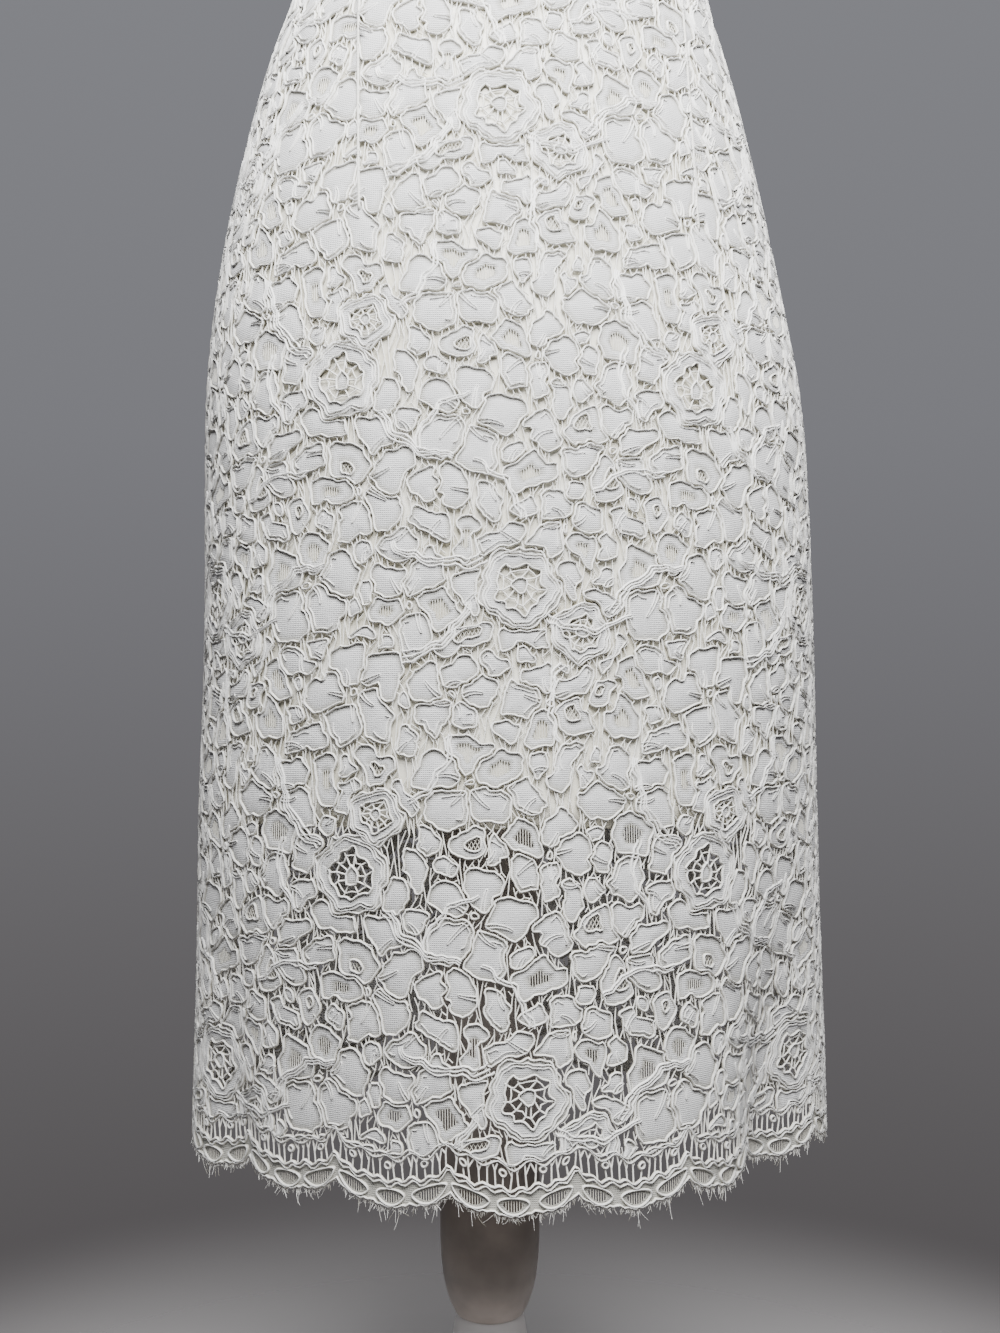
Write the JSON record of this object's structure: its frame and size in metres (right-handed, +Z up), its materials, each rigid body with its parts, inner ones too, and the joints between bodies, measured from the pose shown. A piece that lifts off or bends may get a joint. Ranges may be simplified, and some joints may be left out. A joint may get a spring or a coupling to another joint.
{
  "type": "lace dress on dress form",
  "caption": "Sleeveless corded-lace sheath dress with a shorter lining and a scalloped fringed hem, worn by a limbless dress form on a stand.",
  "frame": {"origin": "on the floor, on the stand's axis, at the centre of the foot's underside", "axes": "+Z up, the dress's front faces -Y, the wearer's left is at +X"},
  "size_m": [0.41, 0.41, 1.454],
  "materials": {
    "white_lace": "matt corded lace",
    "white_thread": "matt thread",
    "cream_lining": "soft satin",
    "white_form": "matt",
    "frosted_column": "frosted",
    "white_foot": "smooth",
    "white_zip": "moulded teeth",
    "zip_metal": "polished"
  },
  "bodies": {
    "dress_on_form": {"dress_form": "white_form", "stand_column": "frosted_column", "stand_foot": "white_foot", "lining_front": "cream_lining", "lining_back_left": "cream_lining", "lining_back_right": "cream_lining", "lace_front": "white_lace", "lace_back_left": "white_lace", "lace_back_right": "white_lace", "fringe_front": "white_thread", "fringe_back_left": "white_thread", "fringe_back_right": "white_thread", "zip_chain": "white_zip", "zip_slider": "zip_metal"},
    "zip_pull_body": {"zip_pull": "zip_metal"}
  },
  "joints": [
    {"name": "pull_hinge", "type": "hinge", "parent": "dress_on_form", "child": "zip_pull_body", "pos_m": [0.008, 0.0762, 1.3432], "axis": [1, 0, 0], "range_deg": [0, 150]}
  ]
}
